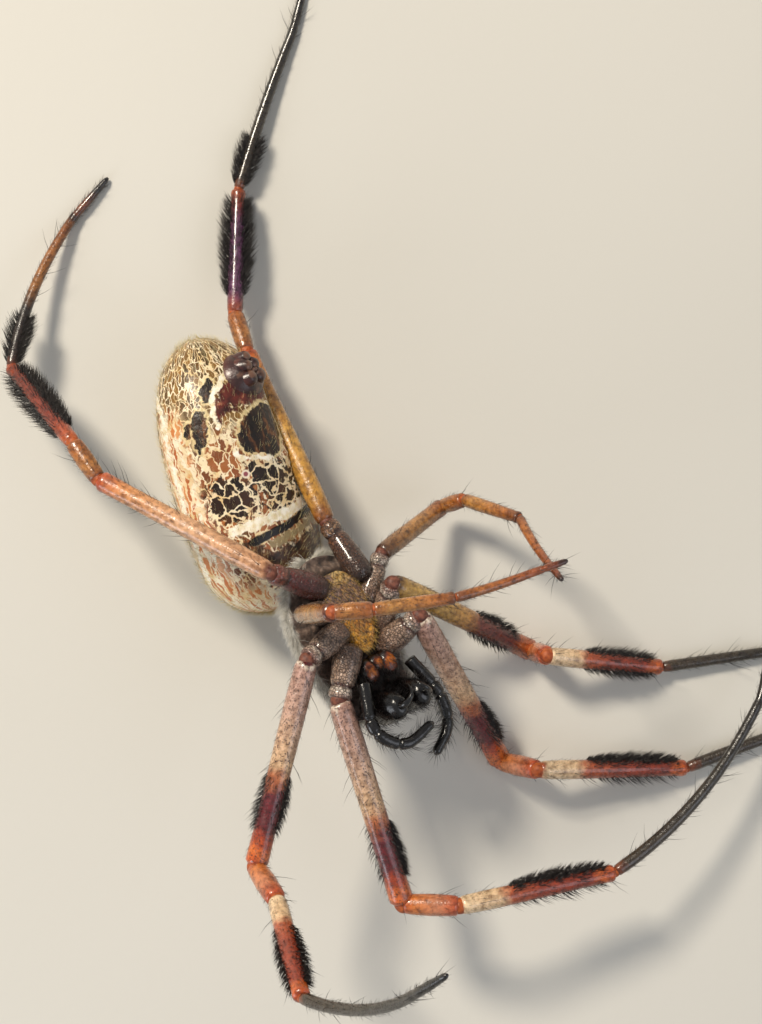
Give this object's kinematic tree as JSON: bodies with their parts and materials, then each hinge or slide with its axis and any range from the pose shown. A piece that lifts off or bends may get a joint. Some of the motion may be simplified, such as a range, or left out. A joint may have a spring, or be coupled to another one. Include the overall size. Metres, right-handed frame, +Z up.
{
  "type": "golden silk orb weaver model",
  "caption": "Life-size still model of a large female orb-weaving spider on her back, long body belly up, slender legs spread with bristle brushes.",
  "frame": {"origin": "on the floor under the middle of the whole model, centre of its bounding box", "axes": "+Z up out of the belly side, +Y towards the rear of the body, +X towards its right front legs"},
  "size_m": [0.0683, 0.0692, 0.0367],
  "materials": {
    "coxa": "grey brown, scaly, soft sheen",
    "femur": "pinkish tan with dark speckles, purple red and brushed near the knee",
    "patella": "orange red, satin",
    "tibia": "cream at the knee, then red brown with black brushes",
    "foot": "dark olive brown to black, satin",
    "abdomen": "cream net over brown blotches, soft skin sheen",
    "spinnerets": "dark maroon, glossy",
    "pedicel": "brown, satin",
    "carapace": "silver white felt of short hair",
    "sternum": "orange yellow and brown, short hair",
    "mouthparts": "black with orange middles",
    "chelicera": "black, glossy",
    "fang": "black, glossy",
    "palp": "black, hairy"
  },
  "bodies": {
    "root": {"leg_l1_coxa": "coxa", "leg_l1_femur": "femur", "leg_l1_patella": "patella", "leg_l1_tibia": "tibia", "leg_l1_foot": "foot", "leg_l2_coxa": "coxa", "leg_l2_femur": "femur", "leg_l2_patella": "patella", "leg_l2_tibia": "tibia", "leg_l2_foot": "foot", "leg_l3_coxa": "coxa", "leg_l3_femur": "femur", "leg_l3_patella": "patella", "leg_l3_tibia": "tibia", "leg_l3_foot": "foot", "leg_l4_coxa": "coxa", "leg_l4_femur": "femur", "leg_l4_patella": "patella", "leg_l4_tibia": "tibia", "leg_l4_foot": "foot", "leg_r1_coxa": "coxa", "leg_r1_femur": "femur", "leg_r1_patella": "patella", "leg_r1_tibia": "tibia", "leg_r1_foot": "foot", "leg_r2_coxa": "coxa", "leg_r2_femur": "femur", "leg_r2_patella": "patella", "leg_r2_tibia": "tibia", "leg_r2_foot": "foot", "leg_r3_coxa": "coxa", "leg_r3_femur": "femur", "leg_r3_patella": "patella", "leg_r3_tibia": "tibia", "leg_r3_foot": "foot", "leg_r4_coxa": "coxa", "leg_r4_femur": "femur", "leg_r4_patella": "patella", "leg_r4_tibia": "tibia", "leg_r4_foot": "foot", "abdomen": "abdomen", "spinnerets": "spinnerets", "pedicel": "pedicel", "carapace": "carapace", "sternum": "sternum", "mouthparts": "mouthparts", "chelicera_l": "chelicera", "chelicera_r": "chelicera", "fang_l": "fang", "fang_r": "fang", "palp_l": "palp", "palp_r": "palp"}
  },
  "joints": []
}
